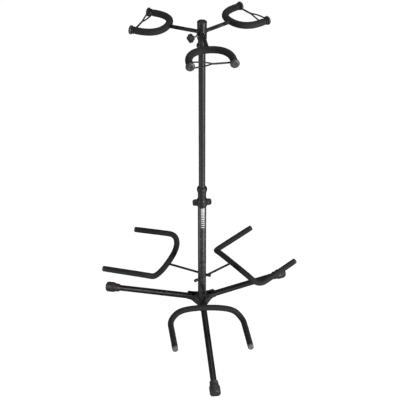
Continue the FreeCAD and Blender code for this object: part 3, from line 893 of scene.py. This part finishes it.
# (radius, distance along the leg), mm
BOOT = [
    (9.55, -31.0), (11.9, -31.0), (12.8, -30.4), (13.1, -29.2), (13.1, -27.0), (12.4, -26.4),
    (12.4, -25.6), (13.2, -25.0), (13.4, -22.8), (13.4, -21.6), (12.8, -21.0), (12.8, -20.2),
    (13.5, -19.6), (13.9, -17.4), (14.9, -15.2), (15.9, -13.2), (16.4, -11.4), (16.5, -9.6),
    (16.5, -6.4), (16.15, -6.0), (16.15, -5.0), (16.5, -4.6), (16.5, 5.4), (16.15, 5.8),
    (16.15, 6.8), (16.5, 7.2), (16.4, 9.6), (15.5, 11.4), (13.2, 12.5), (9.5, 13.0),
    (3.0, 13.0), (2.2, 12.4), (0, 12.4), (0, 10.0), (9.55, 10.0)]
LEG_BAND = [(9.53, -35.6), (10.0, -35.6), (10.15, -35.3), (10.15, -31.8), (10.0, -31.5),
            (9.53, -31.5)]


def tube_profile(bore, start, end, end_edge=0.35):
    """Drawn tube with rounded mouths, mm."""
    return [(bore, start), (TUBE_MOUTH_R, start), (TUBE_R, start + 0.35),
            (TUBE_R, end - end_edge), (TUBE_MOUTH_R, end), (bore, end)]


for station, azimuth in STATIONS.items():
    pivot = joint_position(station + "_leg_fold")
    flat_direction = LEG_DIRECTIONS[station]
    direction = (turn(azimuth) @ flat_direction).normalized()
    flat_pivot = Vector((LEG_PIVOT_X, 0, pivot.z))
    tube_runs, foot_runs = [
        [(point - flat_pivot).dot(flat_direction) for point in unturned_points(node, azimuth)]
        for node in (station + "_leg", station + "_foot")]
    start = min(tube_runs)
    length = (max(tube_runs) - start) * 1000
    tube = lathe(station + "_leg_tube", tube_profile(8.1, 0, length, end_edge=0.4), 72, 0.25,
                 pivot + direction * start, direction)
    # the legs wear the darker copy of the paint, a painted shade
    put(tube, station + "_leg", LEG_PAINT_SHADED, station + "_leg")

    boot_origin = pivot + direction * (min(foot_runs) - BOOT[0][1] * MM)
    boot = placed(lathe_data(BOOT, 96, 0.45), basis(boot_origin, direction, Vector((0, 0, 1))))
    for point in boot[0]:
        if point.z < 0.0:       # flat where it stands
            point.z = 0.0
    foot = link(station + "_foot_boot", boot, sharp=38)
    put(foot, station + "_leg", FOOT_RUBBER, station + "_foot")
    if station == "left":
        red_band = lathe("left_band", LEG_BAND, 72, 0.15, boot_origin, direction)
        put(red_band, "left_leg", BAND_RED, "left_leg_band")


# ------------------------------------------------------------------ hub
HUB_BOTTOM, HUB_TOP = heights("base_hub")
SOCKET_FLOOR = heights("lower_tube")[0]
fold_joint = joint_position("front_leg_fold")
PIVOT_R = Vector((fold_joint.x, fold_joint.y, 0)).length * 1000
PIVOT_Z = fold_joint.z * 1000
LEG_SLOPE = abs(LEG_DIRECTIONS["left"].z / LEG_DIRECTIONS["left"].x)
LEG_ANGLE = atan(LEG_SLOPE)
BOWL_R = 25.0
SLOT = (0.0159, 0.045)                # metres, radial reach of the slot cutters
SLOT_HALF = 0.007                     # metres
SLOT_CORNER = 0.0022                  # metres
EAR_INNER, EAR_THICK = 9.75, 2.2      # mm from the leg's plane, mm
EAR_OUTER = 11.9                      # where the bridge ends and the beads stand
EAR_END = 51.0                        # radius of the ears' outer end
BRIDGE = (6.7, 12.4)                  # mm along the leg from its pivot
BRIDGE_THICK = 1.3
BEAD_FOOT = 70.0                      # height of the beads' lower end


def leg_height(radius):
    """Height of the leg's centre line at a radius, mm."""
    return PIVOT_Z - (radius - PIVOT_R) * LEG_SLOPE


def slotted_bowl():
    """The bowl, cut by an open slot over each leg."""
    profile = [(3.4, HUB_BOTTOM), (9.0, HUB_BOTTOM), (11.5, HUB_BOTTOM + 0.7),
               (14.6, HUB_BOTTOM + 3.4), (17.8, HUB_BOTTOM + 7.7), (21.1, HUB_BOTTOM + 13.0),
               (23.5, HUB_BOTTOM + 19.5), (24.8, HUB_BOTTOM + 26.0), (BOWL_R, HUB_TOP - 2.0),
               (24.4, HUB_TOP - 0.7), (23.2, HUB_TOP), (SOCKET_R, HUB_TOP),
               (SOCKET_R, SOCKET_FLOOR), (3.4, SOCKET_FLOOR)]
    bowl = link("hub_bowl_tmp", lathe_data(profile, 180, 0.8, corner_steps=4))
    inner, outer = SLOT
    plan = soften([(inner, -SLOT_HALF), (outer, -SLOT_HALF), (outer, SLOT_HALF),
                   (inner, SLOT_HALF)], [SLOT_CORNER, 0, 0, SLOT_CORNER], 5)
    count = len(plan)
    for station, azimuth in STATIONS.items():
        verts = [turn(azimuth) @ Vector((x, y, z))
                 for z in (SOCKET_FLOOR * MM, HUB_TOP * MM + 0.01) for x, y in plan]
        faces = [list(reversed(range(count))), list(range(count, 2 * count))]
        faces += [[i, (i + 1) % count, (i + 1) % count + count, i + count]
                  for i in range(count)]
        cutter = link("hub_cutter_tmp_" + station, (verts, faces))
        cut = bowl.modifiers.new("cut", "BOOLEAN")
        cut.operation = "DIFFERENCE"
        cut.solver = "EXACT"
        cut.object = cutter
        apply_modifiers(bowl)
        bpy.data.objects.remove(cutter)
    data = ([vertex.co.copy() for vertex in bowl.data.vertices],
            [list(polygon.vertices) for polygon in bowl.data.polygons])
    bpy.data.objects.remove(bowl)
    return data


def hub_ears():
    """The two plates that flank a leg."""
    ear_top = (leg_height(BRIDGE[1] * cos(LEG_ANGLE) + PIVOT_R)
               + (TUBE_R + 0.06 + BRIDGE_THICK) / cos(LEG_ANGLE))
    end_z = leg_height(EAR_END)
    # radius, height, corner radius, mm
    corners = [
        (15.0, HUB_TOP - 1.0, 0), (24.5, HUB_TOP - 1.8, 3), (33.5, 89.9, 8),
        (EAR_END - 3.0, ear_top + 0.5, 2.2), (EAR_END, ear_top - 2.2, 2.2),
        (EAR_END, end_z - 0.5, 3.0), (EAR_END - 4.5, end_z - 3.2, 3.0),
        (38.0, PIVOT_Z - 4.9, 6), (31.0, PIVOT_Z - 5.6, 5), (24.0, 67.5, 6), (18.0, 62.5, 0),
        (15.0, 62.5, 0)]
    outline = soften([(x, z) for x, z, _ in corners], [radius for _, _, radius in corners], 5)
    outline = [(x * MM, z * MM) for x, z in outline]
    return [prism_data(outline, start * MM, (start + EAR_THICK) * MM)
            for start in (EAR_INNER, -EAR_INNER - EAR_THICK)]


def hub_bridge():
    """The strip over a leg between its ears, falling a little towards them."""
    tilt = (Matrix.Translation((PIVOT_R * MM, 0, PIVOT_Z * MM))
            @ Matrix.Rotation(LEG_ANGLE, 4, "Y"))
    near, far = BRIDGE
    under = TUBE_R + 0.08
    steps = 12
    rings = []
    for k in range(steps + 1):
        y = -EAR_OUTER + 2 * EAR_OUTER * k / steps
        top = under + BRIDGE_THICK - 0.35 * (abs(y) / EAR_OUTER) ** 4
        section = ((near, under), (far, under), (far, top), (near, top))
        rings.append([tilt @ (Vector((x, y, z)) * MM) for x, z in section])
    verts, faces = loft(rings)
    last = 4 * steps
    faces += [[0, 3, 2, 1], [last, last + 1, last + 2, last + 3]]
    return verts, faces


def hub_bead(side):
    """Upright bead where an ear leaves the bowl; frames() gives a vertical path no width,
    so it collapses onto its own line."""
    y = side * EAR_OUTER
    x = sqrt(max(0.0, BOWL_R * BOWL_R - y * y))
    rise = HUB_TOP - 4.5 - BEAD_FOOT
    path = [Vector((x + 0.1, y + side * 0.05, BEAD_FOOT + rise * k / 30)) * MM
            for k in range(31)]
    radii = [0.0013 * sin(pi * (0.12 + 0.76 * k / 30)) ** 0.5 for k in range(31)]
    return tube_data(path, radii, 12)


def hub_mesh():
    parts = [slotted_bowl()]
    for azimuth in STATIONS.values():
        fittings = hub_ears() + [hub_bridge(), hub_bead(1), hub_bead(-1)]
        parts += [placed(fitting, turn(azimuth)) for fitting in fittings]
    rim = [(SOCKET_R, HUB_TOP - 1.0), (15.2, HUB_TOP - 1.0), (15.2, HUB_TOP + 0.25),
           (14.7, HUB_TOP + 0.5), (12.9, HUB_TOP + 0.5), (SOCKET_R, HUB_TOP + 0.3)]
    parts.append(lathe_data(rim, 120, 0.3))
    return remesh("hub_casting", parts, voxel=0.0005, smooth=4)


put(hub_mesh(), "base", HUB_PAINT, "base_hub")


# ------------------------------------------------------------------ clutch
def clutch_neck_and_ring():
    bottom, top = heights("clutch_bushing")
    ring, ring_top = heights("clutch_ring")
    tube_top = heights("lower_tube")[1]
    # the neck stands on the lower tube and has a groove near each end
    profile = [(BORE, bottom), (10.7, bottom), (11.0, bottom + 0.4), (11.0, tube_top),
               (12.3, tube_top), (12.3, tube_top + 5.0), (12.0, tube_top + 5.4),
               (12.0, tube_top + 6.0), (12.3, tube_top + 6.4), (12.3, ring - 5.2),
               (12.0, ring - 4.8), (12.0, ring - 4.2), (12.3, ring - 3.8), (12.25, ring - 2.9),
               (11.5, ring - 2.0), (11.5, top), (BORE, top)]
    neck = lathe("clutch_neck", profile, 96, 0.25)
    put(neck, "base", BLACK_NYLON, "clutch_bushing")
    profile = [(11.52, ring), (12.9, ring), (14.0, ring + 0.9), (14.8, ring + 2.3),
               (15.2, ring + 4.6), (15.25, ring + 7.0), (15.0, ring + 9.6),
               (14.4, ring + 11.6), (13.6, ring + 13.2), (12.4, ring + 14.8),
               (11.3, ring_top), (10.2, ring_top), (10.1, top + 0.02), (11.52, top + 0.02)]
    soft_ring = lathe("clutch_soft_ring", profile, 96, 0.6)
    put(soft_ring, "base", RING_RUBBER, "clutch_ring")


def wing_data(bottom, top, span):
    """The +X wing: flat, rounded end, thinning outwards, a thumb hollow on each face."""
    root = 13.3
    end_radius, rim = 6.8, 1.9
    columns, rows = 44, 30
    middle, half_height = (bottom + 2.0 + top - 3.5) / 2, (top - bottom - 5.5) / 2
    verts = []
    for side in (1, -1):
        for i in range(columns + 1):
            x = root + (span - root) * (1 - (1 - i / columns) ** 1.6)
            to_end = span - x
            tall = half_height
            if to_end < end_radius:
                arc = end_radius * end_radius - (end_radius - to_end) ** 2
                tall = half_height - end_radius + sqrt(max(0.0, arc))
            tall = max(0.02, tall)
            thick = 4.5 - 0.6 * max(0.0, (x - 16) / (span - 16))
            for j in range(rows + 1):
                level = -1 + 2 * j / rows
                z = middle + tall * level
                to_edge = min(to_end, tall * (1 - abs(level)))
                full = 1.0 if to_edge > rim else sqrt(max(0.0, 1 - (1 - to_edge / rim) ** 2))
                hollow = 0.75 * exp(-(((x - 21.8) / 3.3) ** 2
                                      + ((z - middle) / 6.2) ** 2) ** 1.5)
                y = max(0.0, thick * (0.42 + 0.58 * full) - hollow) if to_edge > 0.001 else 1.4
                verts.append(Vector((x, side * y, z)) * MM)

    def at(face, i, j):
        return (face * (columns + 1) + i) * (rows + 1) + j

    faces = []
    for face in (0, 1):
        for i in range(columns):
            for j in range(rows):
                faces.append([at(face, i, j), at(face, i + 1, j), at(face, i + 1, j + 1),
                              at(face, i, j + 1)])
    for i in range(columns):
        for j in (0, rows):
            faces.append([at(0, i, j), at(0, i + 1, j), at(1, i + 1, j), at(1, i, j)])
    for j in range(rows):
        for i in (0, columns):
            faces.append([at(0, i, j), at(0, i, j + 1), at(1, i, j + 1), at(1, i, j)])
    return verts, faces


def wing_mesh():
    bottom, top = heights("clutch_wing_nut")
    low, high = box("clutch_wing_nut")
    profile = [(12.76, bottom), (13.8, bottom), (15.0, bottom + 1.4), (15.0, top - 3.2),
               (14.2, top - 2.2), (13.5, top - 1.4), (13.4, top), (12.76, top)]
    wing = wing_data(bottom, top, span=(high.x - low.x) / 2 * 1000)
    opposite = ([Vector((-point.x, point.y, point.z)) for point in wing[0]], wing[1])
    parts = [lathe_data(profile, 96, 0.5, corner_steps=4), wing, opposite]
    return remesh("clutch_wings", parts, voxel=0.00042, smooth=5)


clutch_neck_and_ring()
put(wing_mesh(), "clutch_wing", BLACK_NYLON, "clutch_wing_nut")


# ------------------------------------------------------------------ head
SLEEVE_R = 12.7                       # mm, outer radius of the head sleeve
SLEEVE_BOTTOM, SLEEVE_TOP = heights("head_sleeve")
WELD_R = 0.0054                       # metres, radius of the weld round each arm
KNOB_AXIS = joint_axis("knob_turn")
KNOB_CENTRE = Vector((0, 0, joint_position("knob_turn").z))
# (radius, distance along the screw), mm
SCREW_BOSS = [(2.58, 11.0), (5.2, 11.0), (5.2, 15.1), (4.7, 15.6), (2.58, 15.6)]
KNOB = [
    (2.52, 0.0), (4.2, 0.0), (4.8, 0.5), (4.8, 3.6), (6.2, 4.1), (10.2, 4.1), (12.0, 5.8),
    (12.0, 13.4), (10.8, 15.2), (7.6, 16.0), (6.2, 15.7), (5.4, 15.1), (3.0, 14.9),
    (0.0, 14.9), (0.0, 13.0), (2.52, 13.0)]


def arm_weld(azimuth, arm_height):
    """Uneven weld bead round the root of an arm, on the sleeve's surface."""
    steps = 64
    path = []
    for k in range(steps + 1):
        angle = 2 * pi * k / steps
        y, z = WELD_R * cos(angle), WELD_R * sin(angle)
        x = sqrt((SLEEVE_R * MM) ** 2 - y * y) + 0.0004
        path.append(turn(azimuth) @ Vector((x, y, arm_height + z)))
    radii = [0.0011 + 0.00018 * sin(k * 1.57)
             + 0.00016 * noise.noise(Vector((k * 0.5, azimuth, 2))) for k in range(steps)]
    return tube_data(path, radii + radii[:1], 10)


def head_weldment():
    """Sleeve, boss for the thumb screw and the three arm welds."""
    profile = [(BORE, SLEEVE_BOTTOM), (12.4, SLEEVE_BOTTOM), (SLEEVE_R, SLEEVE_BOTTOM + 0.3),
               (SLEEVE_R, SLEEVE_TOP - 0.3), (12.4, SLEEVE_TOP), (BORE, SLEEVE_TOP)]
    boss = placed(lathe_data(SCREW_BOSS, 48, 0.25), basis(KNOB_CENTRE, KNOB_AXIS))
    parts = [lathe_data(profile, 128, 0.2, corner_steps=2), boss]
    low, high = box("front_arm")
    arm_height = ((low + high) / 2).z
    parts += [arm_weld(azimuth, arm_height) for azimuth in HEAD_AZIMUTHS.values()]
    return remesh("head_weldment", parts, voxel=0.0004, smooth=2)


def head_top_cap():
    bottom, top = heights("head_cap")
    profile = [(0, bottom), (BORE - 0.6, bottom), (BORE - 0.02, bottom + 1.0),
               (BORE - 0.02, SLEEVE_TOP), (12.75, SLEEVE_TOP), (12.95, SLEEVE_TOP + 0.4),
               (12.95, SLEEVE_TOP + 2.8), (12.6, top - 1.1), (11.6, top - 0.3), (10.0, top),
               (3.2, top + 0.15), (0, top + 0.2)]
    return lathe("head_top_cap", profile, 96, 0.5)


def head_collar():
    bottom, top = heights("head_collar")
    profile = [(BORE, bottom), (13.4, bottom), (14.5, bottom + 1.2), (14.5, bottom + 6.4),
               (13.4, bottom + 8.3), (11.3, bottom + 9.8), (10.8, bottom + 10.6),
               (10.8, top - 2.6), (11.3, top - 2.2), (11.3, top - 0.2), (11.0, top),
               (BORE, top)]
    return lathe("head_collar_moulding", profile, 112, 0.5)


def knob_radius(radius, angle):
    """Four lobes that fade in outside the knob's neck."""
    if radius < 5.6:
        return radius
    fade = min(1.0, (radius - 5.6) / 3.6)
    lobe = 0.5 + 0.5 * cos(4 * (angle - pi / 4))
    return radius * (1 - fade * 0.27 * (1 - lobe ** 0.75))


def thumb_knob():
    start = min((point - KNOB_CENTRE).dot(KNOB_AXIS) for point in node_points("knob"))
    data = lathe_data(KNOB, 128, 0.7, corner_steps=4, radius_at=knob_radius)
    knob = link("thumb_knob_moulding", data, sharp=38)
    return move(knob, basis(KNOB_CENTRE + KNOB_AXIS * start, KNOB_AXIS))


put(head_weldment(), "head", TUBE_PAINT, "head_sleeve")
put(head_top_cap(), "head", HEAD_NYLON, "head_cap")
put(head_collar(), "upper_column", HEAD_NYLON, "head_collar")
put(thumb_knob(), "thumb_knob", BLACK_NYLON, "knob")


# ------------------------------------------------------------------ upper tube and its guide
def guide_sleeve():
    """Plug in the foot of the upper tube, with a running collar and three grooves."""
    bottom, top = heights("upper_tube_guide")
    collar_r, groove_r, plug_r = 10.82, 10.35, 7.96
    profile = [(0, bottom), (8.8, bottom), (10.3, bottom + 0.8), (collar_r, bottom + 1.9)]
    for k in range(3):
        groove = bottom + 3.4 + 2.6 * k
        profile += [(collar_r, groove), (groove_r, groove + 0.35), (groove_r, groove + 0.85),
                    (collar_r, groove + 1.2)]
    profile += [(collar_r, bottom + 11.5), (10.5, bottom + 11.96), (plug_r, bottom + 11.96),
                (plug_r, top - 1.8), (6.4, top), (0, top)]
    return lathe("guide_sleeve", profile, 80, 0.2)


upper_tube = lathe("upper_tube_drawn", tube_profile(8.0, *heights("upper_tube")), 96, 0.2)
put(upper_tube, "upper_column", UPPER_PAINT, "upper_tube")
put(guide_sleeve(), "upper_column", NATURAL_NYLON, "upper_tube_guide")


# ------------------------------------------------------------------ the CAD nodes that stay
label_low, label_high = box("tube_label")
LABEL_SILVER = label_foil("label_silver", label_low.z, label_high.z)
# node: material, slot
KEPT = {
    "lower_tube": (TUBE_PAINT, "tube_paint"),
    "tube_insert": (ZINC_STEEL, "zinc_steel"),
    "hub_bolt": (ZINC_STEEL, "zinc_steel"),
    "leg_pivot_rivets": (DARK_STEEL, "zinc_steel"),
    "knob_screw": (ZINC_STEEL, "zinc_steel"),
    "tube_label": (LABEL_SILVER, "label_silver"),
}
# cores, rods and arms take the darker copy of the paint, a painted shade
for station in STATIONS:
    for part in ("cradle_core", "cradle_rod", "arm", "yoke_core"):
        KEPT[station + "_" + part] = (ROD_PAINT_SHADED, "rod_paint")
for node, (material, slot) in KEPT.items():
    obj = NODES[node]
    obj.data.materials.clear()
    obj.data.materials.append(material)


# ------------------------------------------------------------------ floor
def mix_shaders(tree, amount, first, second):
    """Blend two shaders; amount is a number or a socket, 1 being all second."""
    node = tree.nodes.new("ShaderNodeMixShader")
    fill(node, Fac=amount)
    tree.links.new(first, node.inputs[1])
    tree.links.new(second, node.inputs[2])
    return node.outputs[0]


def pale_floor():
    """A faint veil to the camera, so that a leg folded below floor level still shows,
    and a plain grey in reflections."""
    look = Surface("floor_pale", rough=0.9, specular=0.1)
    path = look.node("LightPath")
    grey = look.mix(look.noise(scale=5.0, detail=3.0, rough=0.5), (0.24, 0.24, 0.24),
                    over=(0.27, 0.27, 0.27))
    fill(look.shader, Base_Color=grey)
    veil = look.mix(look.noise(scale=2.0, detail=3.0, rough=0.5), (0.99, 0.99, 0.99),
                    over=(1.0, 1.0, 1.0))
    clear = look.node("BsdfTransparent", Color=veil)
    pale = look.node("BsdfDiffuse", Color=(0.95, 0.95, 0.95, 1))
    glow = look.node("Emission", Color=(1, 1, 1, 1), Strength=0.72)
    lit = look.node("AddShader")
    look.tree.links.new(pale.outputs[0], lit.inputs[0])
    look.tree.links.new(glow.outputs[0], lit.inputs[1])
    clearness = 0.90
    seen = mix_shaders(look.tree, clearness, lit.outputs[0], clear.outputs[0])
    whole = mix_shaders(look.tree, path.outputs["Is Camera Ray"], look.shader.outputs[0], seen)
    fill(look.tree.nodes["Material Output"], Surface=whole)
    return look.material


FLOOR_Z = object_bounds()[0].z
floor_mesh = bpy.data.meshes.new("floor")
work = bmesh.new()
bmesh.ops.create_grid(work, x_segments=1, y_segments=1, size=14)
work.to_mesh(floor_mesh)
work.free()
floor = bpy.data.objects.new("floor", floor_mesh)
floor.location = (0, 0, FLOOR_Z - 0.0002)
bpy.context.scene.collection.objects.link(floor)
floor.data.materials.append(pale_floor())


# ------------------------------------------------------------------ lights
def area(name, azimuth, distance, height, size, power, target=None):
    """Area light aimed at a height on the column, or straight up if there is no target.
    The azimuth is in degrees and the power in watts."""
    angle = radians(azimuth)
    location = AXIS + Vector((distance * cos(angle), distance * sin(angle), height))
    light = bpy.data.lights.new(name, "AREA")
    light.shape = "RECTANGLE"
    light.size, light.size_y = size
    light.energy = power
    obj = bpy.data.objects.new(name, light)
    obj.location = location
    if target is None:
        obj.rotation_euler = (pi, 0, angle)
    else:
        aim = AXIS + Vector((0, 0, target)) - location
        obj.rotation_euler = aim.to_track_quat("-Z", "Y").to_euler()
    bpy.context.scene.collection.objects.link(obj)
    return obj


area("key_right", azimuth=-52, distance=2.6, height=1.1, size=(0.45, 2.0), power=150, target=0.5)
area("rim_left", azimuth=-165, distance=2.4, height=1.2, size=(0.35, 2.0), power=42, target=0.5)
# low soft boxes lying on the floor, unseen by the camera: they draw the streaks down the tubes
for name, azimuth, width, power in (("streak_right", -48, 0.15, 2.7),
                                    ("streak_left", -168, 0.26, 1.7)):
    streak = area(name, azimuth, distance=0.95, height=FLOOR_Z + 0.004, size=(1.3, width),
                  power=power)
    streak.visible_camera = False
area("top", azimuth=60, distance=0.8, height=3.0, size=(1.2, 1.2), power=22, target=0.4)


# ------------------------------------------------------------------ world and camera
world = bpy.data.worlds.new("studio")
bpy.context.scene.world = world
world.use_nodes = True
world_tree = world.node_tree
backdrop = world_tree.nodes["Background"]       # white, seen by the camera only
fill(backdrop, Color=(1, 1, 1, 1), Strength=1.0)
ambient = world_tree.nodes.new("ShaderNodeBackground")
fill(ambient, Color=(0.95, 0.97, 1.0, 1), Strength=0.09)
light_path = world_tree.nodes.new("ShaderNodeLightPath")
fill(world_tree.nodes["World Output"],
     Surface=mix_shaders(world_tree, light_path.outputs["Is Camera Ray"], ambient.outputs[0],
                         backdrop.outputs[0]))

camera_data = bpy.data.cameras.new("camera")
camera = bpy.data.objects.new("camera", camera_data)
bpy.context.scene.collection.objects.link(camera)
camera.location = AXIS + Vector((-0.2692, -2.2902, 2.2045))
camera.rotation_euler = (pi / 2 - 0.646, 0, -0.117)     # looks down by 0.646 rad
camera_data.sensor_width = 36
camera_data.lens = 88.94
camera_data.shift_x = -0.005
camera_data.shift_y = 0.0024
camera_data.clip_end = 60
bpy.context.scene.camera = camera
bpy.context.scene.view_settings.view_transform = "Standard"
